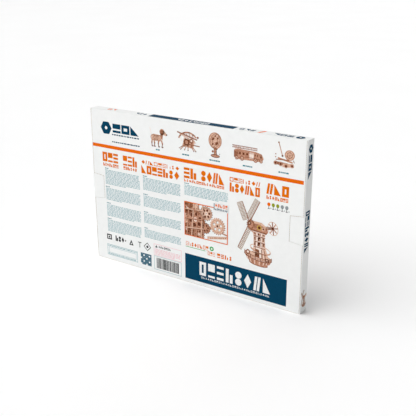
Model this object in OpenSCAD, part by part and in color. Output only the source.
// Boxed wooden windmill kit.
// A folding carton stands on its long edge. Its printed panel drops down and shows four
// sheets of pre-cut plywood parts, an instruction booklet and a compartment of small parts.
// X runs along the carton, Y through its depth, Z is up, and the drop-down panel faces -Y.
// The origin is the middle of the carton's base.

/* [Carton] */
// Outside length of the carton
carton_l = 375; // [370:1:460]
// Outside height of the carton as it stands
carton_h = 250; // [249:1:310]
// Thickness of the fluted card
card_t = 1.2; // [0.8:0.1:1.6]
// Gap that lets a flap slide behind a wall
flap_gap = 1.0; // [0.9:0.1:1.6]
// Gap along a cut edge of the card
cut_gap = 0.4; // [0.2:0.1:0.8]

/* [Flaps] */
// Length of a lock tab along the end wall
tab_h = 41; // [24:1:60]
// Reach of a lock tab over the drop panel
tab_w = 20; // [16:1:26]
// How much narrower a lock tab is at each side of its tip
tab_taper = 2; // [1.6:0.1:4]
// Height of the middle of the lock tabs
tab_z = 124.5; // [110:0.5:140]
// Depth of the tuck flap
tuck_d = 13; // [9:1:14]
// Depth of a dust ear
ear_d = 12; // [8:1:14]
// Length of a glued corner tab
glue_l = 15; // [8:1:24]

/* [Plywood sheets] */
// Thickness of the plywood
ply_t = 2.8; // [2:0.1:3.4]
// Gap between neighbours in the stack
stack_gap = 0.5; // [0.5:0.1:0.9]
// Free depth between the front sheet and the drop panel
lid_gap = 1.1; // [0.6:0.1:2]
// Width of the laser cut
kerf = 0.3; // [0.2:0.05:0.4]
// Uncut wood around the sheet's rim
rim = 7; // [5:1:9]
// Uncut wood between neighbouring parts
web = 4; // [3:0.5:4.5]

/* [Windmill parts] */
// Length of a sail
sail_l = 150; // [110:1:150]
// Width of a sail
sail_w = 34; // [26:1:34]
// Tip radius of a large gear
large_gear_r = 29; // [22:1:29]
// Tip radius of a medium gear
medium_gear_r = 18.5; // [14:0.5:18.5]
// Tip radius of a pinion
pinion_r = 9.5; // [7:0.5:9.5]
// Height of a tower panel
tower_h = 148; // [120:1:148]
// Width of a tower panel at its foot
tower_foot = 40; // [34:1:41]
// Width of a tower panel at its head
tower_head = 24; // [20:1:25]
// Outside radius of the gallery
gallery_r = 112; // [95:1:112]
// Width of each gallery ring
ring_w = 15; // [10:1:15]
// Radius of an axle hole
axle_r = 2.1; // [1.6:0.1:2.6]

/* [Small parts] */
// Width of the compartment for small parts
bay_w = 27; // [26:1:28]
// Length of an axle dowel
dowel_l = 160; // [100:1:170]
// Number of axle dowels
dowel_n = 5; // [3:1:5]
// Thickness of the booklet's pages
pages_t = 0.8; // [0.6:0.1:1.4]

/* [Hidden] */

eps = 1;                      // how far a cutter runs past a face
card = "white";
wood = "burlywood";
nib_w = 0.8;                  // width of a bridge that holds a part in its sheet
nib_t = 1.2;                  // depth of that bridge
nib_bite = 0.2;               // how far a bridge runs into the sheet

// Depth of the carton, from what lies in it
cover_t = 0.3;
booklet_t = pages_t + 2 * cover_t;
sheet_pitch = ply_t + stack_gap;
inner_d = lid_gap + 4 * sheet_pitch + booklet_t + stack_gap;
carton_d = inner_d + 2 * card_t;
front_y = carton_d / 2;
inner_x = carton_l / 2 - card_t;
ear_x = inner_x - flap_gap;                      // outer face of a dust ear
bay_x = ear_x - card_t - cut_gap;                // outer face of the compartment insert
tuck_z = carton_h - card_t - flap_gap;           // upper face of the tuck flap
panel_in_y = -front_y + card_t;                  // inner face of the drop panel

// A plywood sheet, and where each of the four stands
lift = 0.2;                                      // air under a sheet
sheet_z = 2 * card_t + lift;
sheet_x = -(inner_x - cut_gap - tab_w - 0.6);     // clear of the left lock tab
sheet_w = bay_x - bay_w - cut_gap - sheet_x;
sheet_h = tuck_z - card_t - 0.6 - sheet_z;
function sheet_y(i) = panel_in_y + lid_gap + i * sheet_pitch;

// ---------- outlines ----------

function unit(v) = v / norm(v);
function outward(a, b) = let (e = unit(b - a)) [e.y, -e.x];
// A counter-clockwise outline moved outwards by d, with sharp corners
function grown(p, d) = let (n = len(p)) [for (i = [0:n - 1])
  let (m = outward(p[(i + n - 1) % n], p[i]) + outward(p[i], p[(i + 1) % n]))
  p[i] + 2 * d * m / (m * m)];
function polar(r, a) = [r * cos(a), r * sin(a)];
function box_points(w, h) = [[0, 0], [w, 0], [w, h], [0, h]];
function trapezoid(foot, head, h) =
  [[-foot / 2, 0], [foot / 2, 0], [head / 2, h], [-head / 2, h]];
tooth_root = 0.3;             // half width of a tooth at its root, as a share of the pitch
tooth_tip = 0.16;             // the same at its tip
function gear_points(r, teeth, depth) = [for (i = [0:teeth - 1], q = [
    [r - depth, -tooth_root], [r, -tooth_tip], [r, tooth_tip], [r - depth, tooth_root]])
  polar(q[0], (i + q[1]) * 360 / teeth)];
function grid(x, y, dx, dy, columns, rows) =
  [for (j = [0:rows - 1], i = [0:columns - 1]) [x + i * dx, y + j * dy, 0]];

// ---------- a sheet and the parts in it ----------

module place(spots) for (s = spots) translate([s.x, s.y, 0]) rotate(s.z) children();
module in_sheet(i)
  translate([sheet_x, sheet_y(i) + ply_t, sheet_z]) rotate([90, 0, 0]) children();
module part(i, spots) color(wood) in_sheet(i) place(spots) linear_extrude(ply_t) children();
module hollow(spots) place(spots)
  translate([0, 0, -eps]) linear_extrude(ply_t + 2 * eps) children();
module nib(x, y, a) translate([x, y, (ply_t - nib_t) / 2]) rotate(a)
  translate([0, -nib_w / 2, 0]) cube([kerf + nib_bite, nib_w, nib_t]);
module plate() cube([sheet_w, sheet_h, ply_t]);
// Bridges on the sides of a box, and round a disc or a gear
module box_nibs(spots, w, h) place(spots) {
  nib(0, h / 2, 180);
  nib(w, h / 2, 0);
}
module round_nibs(spots, r, count = 3) place(spots)
  for (k = [0:count - 1]) nib(r * cos(k * 360 / count), r * sin(k * 360 / count), k * 360 / count);
function tip_flat(r, teeth) = r * cos(tooth_tip * 360 / teeth);

module gear(r, teeth, depth, spokes) difference() {
  polygon(gear_points(r, teeth, depth));
  circle(axle_r, $fn = 32);
  if (spokes > 0) for (k = [0:spokes - 1]) rotate((k + 0.5) * 360 / spokes)
    translate([(r - depth) * 0.56, 0]) circle((r - depth) * 0.22, $fn = 32);
}
module gear_cut(r, teeth, depth) polygon(grown(gear_points(r, teeth, depth), kerf));
module box_cut(w, h) polygon(grown(box_points(w, h), kerf));

// ---------- sail sheet ----------

spar_h = 9;
blade_w = 34;
blade_h = 11;
fantail_r = 22.5;
fantail_band = 5;
hub_r = 15;
large_teeth = 30;
medium_teeth = 20;
pinion_teeth = 8;
large_depth = 4;
medium_depth = 3.6;
pinion_depth = 3;
sail_spots = grid(rim, rim, 0, sail_w + web, 1, 4);
spar_y = rim + 4 * (sail_w + web);
spar_spots = grid(rim, spar_y, 0, spar_h + web, 1, 4);
blade_y = spar_y + 4 * (spar_h + web);
blade_spots = grid(rim, blade_y, blade_w + web, blade_h + web, 4, 2);
right_x = rim + sail_l + 2 * web;                 // left limit of the gears
large_spots = grid(right_x + large_gear_r, rim + large_gear_r + 1,
  2 * large_gear_r + web, 0, 2, 1);
gear_row2 = rim + 2 * large_gear_r + web + medium_gear_r + 2;
medium_spots = grid(right_x + medium_gear_r, gear_row2, 2 * medium_gear_r + web, 0, 3, 1);
gear_row3 = gear_row2 + medium_gear_r + web + fantail_r;
fantail_spots = grid(right_x + fantail_r, gear_row3, 2 * fantail_r + web, 0, 3, 1);
gear_row4 = gear_row3 + fantail_r + web + hub_r;
hub_spots = grid(right_x + hub_r, gear_row4, 2 * hub_r + web, 0, 4, 1);
pinion_pitch = 2 * pinion_r + web;
pinion_spots = concat(
  grid(right_x + 4 * large_gear_r + 2 * web + pinion_r, rim + pinion_r + 2, 0, pinion_pitch, 1, 4),
  grid(right_x + pinion_r, gear_row4 + hub_r + web + pinion_r, pinion_pitch, pinion_pitch, 6, 2));
fantail_hub_r = 6;

slat_n = 11;                  // openings along one side of a sail
sail_edge = 3;
slat_bar = 2.2;
module sail() {
  cell = (sail_l - 2 * sail_edge - (slat_n - 1) * slat_bar) / slat_n;
  opening = (sail_w - 3 * sail_edge - 2) / 2;
  difference() {
    polygon(box_points(sail_l, sail_w));
    for (i = [0:slat_n - 1], j = [0, 1])
      translate([sail_edge + i * (cell + slat_bar), sail_edge + j * (opening + sail_edge + 2)])
        polygon(box_points(cell, opening));
  }
}
module spar() difference() {
  polygon(box_points(sail_l, spar_h));
  for (i = [1:5]) translate([i * sail_l / 6 - ply_t, spar_h / 2 - ply_t / 2])
    polygon(box_points(2 * ply_t, ply_t));
}
module blade() difference() {
  polygon(box_points(blade_w, blade_h));
  for (x = [5, blade_w - 5]) translate([x, blade_h / 2]) circle(axle_r, $fn = 32);
}
module fantail_ring() difference() {
  circle(fantail_r, $fn = 64);
  for (a = [0:60:300]) rotate(a) polygon([for (q = [
      [fantail_hub_r + 2, -18], [fantail_r - fantail_band, -25],
      [fantail_r - fantail_band, 25], [fantail_hub_r + 2, 18]]) polar(q[0], q[1])]);
  circle(axle_r, $fn = 32);
}
module hub_disc() difference() {
  circle(hub_r, $fn = 48);
  circle(axle_r, $fn = 32);
  for (a = [0:90:270]) rotate(a) translate([hub_r * 0.45, -ply_t / 2])
    polygon(box_points(hub_r * 0.38, ply_t));
}
module sail_sheet() color(wood) in_sheet(0) {
  difference() {
    plate();
    hollow(sail_spots) box_cut(sail_l, sail_w);
    hollow(spar_spots) box_cut(sail_l, spar_h);
    hollow(blade_spots) box_cut(blade_w, blade_h);
    hollow(fantail_spots) circle(fantail_r + kerf, $fn = 64);
    hollow(hub_spots) circle(hub_r + kerf, $fn = 48);
    hollow(large_spots) gear_cut(large_gear_r, large_teeth, large_depth);
    hollow(medium_spots) gear_cut(medium_gear_r, medium_teeth, medium_depth);
    hollow(pinion_spots) gear_cut(pinion_r, pinion_teeth, pinion_depth);
  }
  box_nibs(sail_spots, sail_l, sail_w);
  box_nibs(spar_spots, sail_l, spar_h);
  box_nibs(blade_spots, blade_w, blade_h);
  round_nibs(fantail_spots, fantail_r);
  round_nibs(hub_spots, hub_r);
  round_nibs(large_spots, tip_flat(large_gear_r, large_teeth));
  round_nibs(medium_spots, tip_flat(medium_gear_r, medium_teeth), 4);
  round_nibs(pinion_spots, tip_flat(pinion_r, pinion_teeth), 2);
}
module sails() part(0, sail_spots) sail();
module sail_spars() part(0, spar_spots) spar();
module fantail_blades() part(0, blade_spots) blade();
module fantail_rings() part(0, fantail_spots) fantail_ring();
module hub_discs() part(0, hub_spots) hub_disc();
module large_gears() part(0, large_spots) gear(large_gear_r, large_teeth, large_depth, 5);
module medium_gears() part(0, medium_spots) gear(medium_gear_r, medium_teeth, medium_depth, 4);
module pinions() part(0, pinion_spots) gear(pinion_r, pinion_teeth, pinion_depth, 0);

// ---------- tower sheet ----------

panel_n = 8;
skirt_h = 52;
skirt_foot = 38;
skirt_head = 30;
rib_w = 33;
rib_h = 8;
wedge_w = 14;
wedge_h = 7;
lean = 1.05;                  // room that leaning sides take, as a share of the web
tower_pitch = (tower_foot + tower_head) / 2 + lean * web;
skirt_pitch = (skirt_foot + skirt_head) / 2 + lean * web;
// Every other panel stands on its head, so that the leaning sides nest
function nested(x, y, pitch, h, count) = [for (i = [0:count - 1])
  i % 2 == 0 ? [x + i * pitch, y, 0] : [x + i * pitch, y + h, 180]];
tower_spots = nested(rim + tower_foot / 2, rim, tower_pitch, tower_h, panel_n);
skirt_y = rim + tower_h + web + 1;
skirt_spots = nested(rim + skirt_foot / 2, skirt_y, skirt_pitch, skirt_h, panel_n);
rib_y = skirt_y + skirt_h + web;
rib_spots = grid(rim, rib_y, rib_w + web + 1, 0, 8, 1);
wedge_y = rib_y + rib_h + web;
wedge_spots = grid(rim, wedge_y, wedge_w + web + 0.8, 0, 16, 1);

module tower_panel() difference() {
  polygon(trapezoid(tower_foot, tower_head, tower_h));
  translate([-7, tower_h * 0.14]) polygon(box_points(14, 26));
  for (z = [0.48, 0.74]) translate([-4.5, tower_h * z]) polygon(box_points(9, 15));
  for (z = [0.4, 0.66, 0.92], s = [-1, 1])
    translate([s * 8.5 - ply_t, tower_h * z]) polygon(box_points(2 * ply_t, ply_t));
}
module skirt_panel() difference() {
  polygon(trapezoid(skirt_foot, skirt_head, skirt_h));
  translate([-8, 12]) polygon(box_points(16, 20));
}
module tower_rib() difference() {
  polygon(box_points(rib_w, rib_h));
  for (x = [6, rib_w - 6 - ply_t]) translate([x, rib_h / 2]) polygon(box_points(ply_t, rib_h));
}
module trapezoid_nibs(spots, foot, head, h) {
  slope = atan2((foot - head) / 2, h);
  place(spots) for (s = [0, 1]) mirror([s, 0, 0]) nib((foot + head) / 4, h / 2, slope);
}
module tower_sheet() color(wood) in_sheet(1) {
  difference() {
    plate();
    hollow(tower_spots) polygon(grown(trapezoid(tower_foot, tower_head, tower_h), kerf));
    hollow(skirt_spots) polygon(grown(trapezoid(skirt_foot, skirt_head, skirt_h), kerf));
    hollow(rib_spots) box_cut(rib_w, rib_h);
    hollow(wedge_spots) box_cut(wedge_w, wedge_h);
  }
  trapezoid_nibs(tower_spots, tower_foot, tower_head, tower_h);
  trapezoid_nibs(skirt_spots, skirt_foot, skirt_head, skirt_h);
  box_nibs(rib_spots, rib_w, rib_h / 2);
  box_nibs(wedge_spots, wedge_w, wedge_h);
}
module tower_panels() part(1, tower_spots) tower_panel();
module skirt_panels() part(1, skirt_spots) skirt_panel();
module tower_ribs() part(1, rib_spots) tower_rib();
module wedges() part(1, wedge_spots) polygon([[0, 0], [wedge_w, 0], [wedge_w, wedge_h],
  [wedge_w / 3, wedge_h], [0, wedge_h * 0.7]]);

// ---------- gallery sheet ----------

ring_n = 5;
rail_w = 36;
rail_h = 14;
bracket = 16;
post_w = 3.4;
post_h = 38;
peg_w = 7.5;
peg_h = 12;
ring_at = [rim + gallery_r + 1, sheet_h / 2, 0];
function ring_outer(k) = gallery_r - k * (ring_w + kerf);
disc_r = ring_outer(ring_n);
side_x = rim + 2 * gallery_r + web + 2;           // left limit of the small parts
rail_spots = grid(side_x, rim, rail_w + web, rail_h + web, 2, 4);
bracket_y = rim + 4 * (rail_h + web);
bracket_spots = grid(side_x, bracket_y, bracket + web, bracket + web, 4, 3);
post_y = bracket_y + 3 * (bracket + web);
post_spots = grid(side_x, post_y, post_w + 3, 0, 12, 1);
peg_y = post_y + post_h + web;
peg_spots = grid(side_x, peg_y, peg_w + web - 0.3, peg_h + web, 7, 3);

module gallery_ring(k) difference() {
  circle(ring_outer(k), $fn = 96);
  circle(ring_outer(k + 1) + kerf, $fn = 96);
  for (a = [0:22.5:337.5]) rotate(a + 11.25 * (k % 2))
    translate([ring_outer(k) - ring_w / 2 - 4, -ply_t / 2]) polygon(box_points(8, ply_t));
}
module railing() difference() {
  polygon(box_points(rail_w, rail_h));
  for (i = [0:4]) translate([3.2 + i * 6.2, 3]) polygon(box_points(4.4, rail_h - 6));
}
bracket_points = [[0, 0], [bracket, 0], [bracket, 5], [5, bracket], [0, bracket]];
module gallery_sheet() color(wood) in_sheet(2) {
  difference() {
    plate();
    hollow([ring_at]) circle(gallery_r + kerf, $fn = 96);
    hollow(rail_spots) box_cut(rail_w, rail_h);
    hollow(bracket_spots) polygon(grown(bracket_points, kerf));
    hollow(post_spots) box_cut(post_w, post_h);
    hollow(peg_spots) box_cut(peg_w, peg_h);
  }
  round_nibs([ring_at], gallery_r, 8);
  box_nibs(rail_spots, rail_w, rail_h);
  place(bracket_spots) {
    nib(0, bracket / 2, 180);
    nib(bracket / 2, 0, -90);
  }
  box_nibs(post_spots, post_w, post_h);
  box_nibs(peg_spots, peg_w, peg_h);
}
module gallery_rings() for (k = [0:ring_n - 1]) part(2, [ring_at]) gallery_ring(k);
module base_disc() part(2, [ring_at]) difference() {
  circle(disc_r, $fn = 96);
  circle(axle_r, $fn = 32);
  for (a = [0:45:315]) rotate(a) translate([disc_r * 0.6, 0]) circle(disc_r * 0.13, $fn = 32);
}
module railings() part(2, rail_spots) railing();
module brackets() part(2, bracket_spots) polygon(bracket_points);
module posts() part(2, post_spots) polygon(box_points(post_w, post_h));
module pegs() part(2, peg_spots) polygon(box_points(peg_w, peg_h));

// ---------- cap sheet ----------

cap_w = 98;
cap_h = 44;
cap_side = 8;                 // straight height at a cap rib's ends
slat_w = 98;
slat_h = 8;
idler_r = 16.5;
idler_teeth = 16;
idler_depth = 3.2;
small_r = 8.5;
small_teeth = 8;
small_depth = 2.6;
washer_r = 5;
tread_w = 20;
tread_h = 6;
stair_w = 72;
stair_h = 11;
shutter_w = 15;
shutter_h = 20;
pin_w = 3.4;
pin_h = 14;
cap_arch = (cap_w * cap_w / 4 + pow(cap_h - cap_side, 2)) / 2 / (cap_h - cap_side);
cap_spots = grid(rim, rim, cap_w + web + 1, cap_h + web, 3, 2);
slat_y = rim + 2 * (cap_h + web);
slat_spots = grid(rim, slat_y, slat_w + web + 1, slat_h + web, 3, 4);
idler_y = slat_y + 4 * (slat_h + web) + idler_r;
idler_spots = grid(rim + idler_r, idler_y, 2 * idler_r + web, 0, 6, 1);
small_x = rim + 6 * (2 * idler_r + web) + small_r;
small_spots = grid(small_x, idler_y - idler_r + small_r + 1, 2 * small_r + web, 2 * small_r + web,
  4, 3);
low_y = idler_y + idler_r + web;
washer_spots = grid(rim + washer_r, low_y + washer_r, 2 * washer_r + web - 1, 2 * washer_r + web,
  8, 3);
stair_x = rim + 8 * (2 * washer_r + web - 1) + web;
stair_spots = grid(stair_x, low_y, 0, stair_h + web, 1, 2);
tread_x = stair_x + stair_w + web;
tread_spots = grid(tread_x, low_y, 0, tread_h + web, 1, 4);
pin_pitch = pin_w + web - 0.4;
pin_spots = concat(grid(stair_x, low_y + 2 * (stair_h + web), pin_pitch, 0, 10, 1),
  grid(tread_x + tread_w + web, low_y, pin_pitch, pin_h + web, 2, 2));
shutter_x = small_x - small_r;
small_top = idler_y - idler_r + 1 + 3 * (2 * small_r + web);
shutter_spots = grid(shutter_x, small_top, shutter_w + web, 0, 4, 1);

// The arch of a cap rib, moved outwards by d
module cap_outline(d) intersection() {
  polygon(grown(box_points(cap_w, cap_h), d));
  translate([cap_w / 2, cap_h - cap_arch]) circle(cap_arch + d, $fn = 96);
}
module cap_rib() difference() {
  cap_outline(0);
  translate([cap_w / 2, 12]) circle(axle_r, $fn = 32);
  for (x = [18, cap_w - 32]) translate([x, 8]) polygon(box_points(14, 16));
  translate([cap_w / 2 - 7, 22]) polygon(box_points(14, 12));
}
module roof_slat() difference() {
  polygon(box_points(slat_w, slat_h));
  for (i = [1:3]) translate([i * slat_w / 4 - ply_t, -eps]) polygon(box_points(2 * ply_t, 3 + eps));
}
stair_points = [[0, 0], [stair_w, 0], [stair_w, stair_h], [0, stair_h]];
module cap_sheet() color(wood) in_sheet(3) {
  difference() {
    plate();
    hollow(cap_spots) cap_outline(kerf);
    hollow(slat_spots) box_cut(slat_w, slat_h);
    hollow(idler_spots) gear_cut(idler_r, idler_teeth, idler_depth);
    hollow(small_spots) gear_cut(small_r, small_teeth, small_depth);
    hollow(washer_spots) circle(washer_r + kerf, $fn = 32);
    hollow(tread_spots) box_cut(tread_w, tread_h);
    hollow(stair_spots) polygon(grown(stair_points, kerf));
    hollow(shutter_spots) box_cut(shutter_w, shutter_h);
    hollow(pin_spots) box_cut(pin_w, pin_h);
  }
  box_nibs(cap_spots, cap_w, cap_side);
  box_nibs(slat_spots, slat_w, slat_h);
  round_nibs(idler_spots, tip_flat(idler_r, idler_teeth), 4);
  round_nibs(small_spots, tip_flat(small_r, small_teeth), 2);
  round_nibs(washer_spots, washer_r, 2);
  box_nibs(tread_spots, tread_w, tread_h);
  box_nibs(stair_spots, stair_w, stair_h);
  box_nibs(shutter_spots, shutter_w, shutter_h);
  box_nibs(pin_spots, pin_w, pin_h);
}
module cap_ribs() part(3, cap_spots) cap_rib();
module roof_slats() part(3, slat_spots) roof_slat();
module idler_gears() part(3, idler_spots) gear(idler_r, idler_teeth, idler_depth, 4);
module idler_pinions() part(3, small_spots) gear(small_r, small_teeth, small_depth, 0);
module washers() part(3, washer_spots) difference() {
  circle(washer_r, $fn = 32);
  circle(axle_r, $fn = 32);
}
module stair_treads() part(3, tread_spots) polygon(box_points(tread_w, tread_h));
module stair_sides() part(3, stair_spots) difference() {
  polygon(stair_points);
  for (i = [0:4]) translate([7 + i * 13, 4]) polygon(box_points(6, ply_t));
}
module shutters() part(3, shutter_spots) difference() {
  polygon(box_points(shutter_w, shutter_h));
  for (i = [0:2]) translate([3, 3 + i * 5]) polygon(box_points(shutter_w - 6, 2.4));
}
module spacer_pins() part(3, pin_spots) polygon(box_points(pin_w, pin_h));

// ---------- carton ----------

module slab(x0, x1, y0, y1, z0, z1) translate([x0, y0, z0]) cube([x1 - x0, y1 - y0, z1 - z0]);
wall_y = panel_in_y + cut_gap;                    // edge of the long walls behind the panel
panel_x = inner_x - cut_gap;                      // end of the drop panel

module front_panel() color(card)
  slab(-carton_l / 2, carton_l / 2, front_y - card_t, front_y, 0, carton_h);
module top_wall() color(card)
  slab(-inner_x, inner_x, wall_y, front_y - card_t, carton_h - card_t, carton_h);
module bottom_wall() color(card) slab(-inner_x, inner_x, wall_y, front_y - card_t, 0, card_t);
module end_wall(side) color(card) mirror([side < 0 ? 1 : 0, 0, 0])
  slab(inner_x, carton_l / 2, -front_y, front_y - card_t, 0, carton_h);
module left_end_wall() end_wall(-1);
module right_end_wall() end_wall(1);
module corner_glue_tabs() color(card) for (s = [0, 1]) mirror([s, 0, 0]) {
  slab(inner_x - glue_l, inner_x, wall_y, front_y - card_t, card_t, 2 * card_t);
  slab(inner_x - glue_l, inner_x, wall_y, front_y - card_t,
    carton_h - 2 * card_t, carton_h - card_t);
}
// A lock tab's outline in X and Z, with d of room round it, from tip to root
function tab_points(d, root) = let (tip = panel_x - tab_w + cut_gap - d, h = tab_h / 2 + d)
  [[tip, -h + tab_taper], [root, -h], [root, h], [tip, h - tab_taper]];
module drop_panel() color(card) difference() {
  slab(-panel_x, panel_x, -front_y, panel_in_y, 0, carton_h);
  for (s = [0, 1]) mirror([s, 0, 0]) translate([0, panel_in_y + eps, tab_z]) rotate([90, 0, 0])
    linear_extrude(card_t + 2 * eps) polygon(tab_points(cut_gap, panel_x + eps));
}
module tuck_flap() color(card) {
  half = inner_x - glue_l - 2;                    // the flap clears the glued corner tabs
  taper = 8;                                      // how far its corners are cut back
  translate([0, panel_in_y, tuck_z - card_t]) linear_extrude(card_t)
    polygon([[-half, 0], [half, 0], [half - taper, tuck_d], [-half + taper, tuck_d]]);
}
module dust_ear(side) color(card) mirror([side < 0 ? 1 : 0, 0, 0]) {
  ear_z = tab_z + tab_h / 2 + 2;                  // the ear passes above the lock tab
  ear_top = tuck_z - card_t - glue_l;
  taper = 5;
  translate([ear_x, panel_in_y, 0]) rotate([90, 0, -90]) mirror([1, 0, 0]) linear_extrude(card_t)
    polygon([[0, ear_z], [ear_d, ear_z + taper], [ear_d, ear_top - taper], [0, ear_top]]);
}
module left_dust_ear() dust_ear(-1);
module right_dust_ear() dust_ear(1);
module lock_tab(side) color(card) mirror([side < 0 ? 1 : 0, 0, 0])
  translate([0, panel_in_y, tab_z]) rotate([90, 0, 0])
    linear_extrude(card_t) polygon(tab_points(0, inner_x - cut_gap / 2));
module left_lock_tab() lock_tab(-1);
module right_lock_tab() lock_tab(1);

// ---------- small parts ----------

insert_y = front_y - card_t - cut_gap;            // back of the compartment insert
bay_left = bay_x - bay_w + card_t;                // left inner face of the compartment
bay_top = sheet_z + sheet_h;
window_lip = 2.6;             // card beside the window in the compartment's front
window_foot = 16;             // card below it
window_head = 40;             // card above it
// A folded card tube fills each end of the carton beside the sheets
module card_tube(x0, x1) color("tan") difference() {
  slab(x0, x1, panel_in_y + cut_gap, insert_y, sheet_z, bay_top);
  slab(x0 + card_t, x1 - card_t, panel_in_y + cut_gap + card_t, insert_y - card_t,
    sheet_z - eps, bay_top + eps);
}
module end_spacer() card_tube(-bay_x, sheet_x - cut_gap);
module bay_insert() color("tan") difference() {
  card_tube(bay_x - bay_w, bay_x);
  slab(bay_left + window_lip, bay_x - card_t - window_lip, panel_in_y - eps,
    insert_y - card_t - dowel_r, sheet_z + window_foot, bay_top - window_head);
}
dowel_r = axle_r - 0.1;
bay_room = bay_w - 2 * card_t;
module axle_dowels() color("wheat") for (i = [0:dowel_n - 1])
  translate([bay_left + (i + 0.5) * bay_room / dowel_n, insert_y - card_t - dowel_r - 0.3, sheet_z])
    cylinder(h = dowel_l, r = dowel_r, $fn = 32);
dowel_front = insert_y - card_t - 2 * dowel_r - 0.6;
module sandpaper_strip() color("dimgray")
  slab(bay_left + 2, bay_left + bay_room - 2, dowel_front - 1, dowel_front, sheet_z, sheet_z + 110);
wax_t = 5;
module wax_block() color("ivory")
  slab(bay_left + 6, bay_left + bay_room - 6, dowel_front - 1.3 - wax_t, dowel_front - 1.3,
    sheet_z, sheet_z + 55);
booklet_w = 210;
booklet_h = 148;
booklet_y = front_y - card_t - stack_gap / 2;     // back face of the booklet
module booklet_cover() color("white") translate([-booklet_w / 2, booklet_y - booklet_t, sheet_z]) {
  cube([booklet_w, cover_t, booklet_h]);
  translate([0, booklet_t - cover_t, 0]) cube([booklet_w, cover_t, booklet_h]);
  cube([cover_t, booklet_t, booklet_h]);
}
module booklet_pages() color("whitesmoke")
  translate([-booklet_w / 2 + cover_t, booklet_y - booklet_t + cover_t, sheet_z + 1])
    cube([booklet_w - 2 * cover_t, pages_t, booklet_h - 2]);

front_panel();
top_wall();
bottom_wall();
left_end_wall();
right_end_wall();
corner_glue_tabs();
drop_panel();
tuck_flap();
left_dust_ear();
right_dust_ear();
left_lock_tab();
right_lock_tab();
end_spacer();
bay_insert();
axle_dowels();
sandpaper_strip();
wax_block();
booklet_cover();
booklet_pages();
sail_sheet();
sails();
sail_spars();
fantail_blades();
fantail_rings();
large_gears();
medium_gears();
pinions();
hub_discs();
tower_sheet();
tower_panels();
skirt_panels();
tower_ribs();
wedges();
gallery_sheet();
gallery_rings();
base_disc();
railings();
brackets();
posts();
pegs();
cap_sheet();
cap_ribs();
roof_slats();
idler_gears();
idler_pinions();
washers();
stair_treads();
stair_sides();
shutters();
spacer_pins();
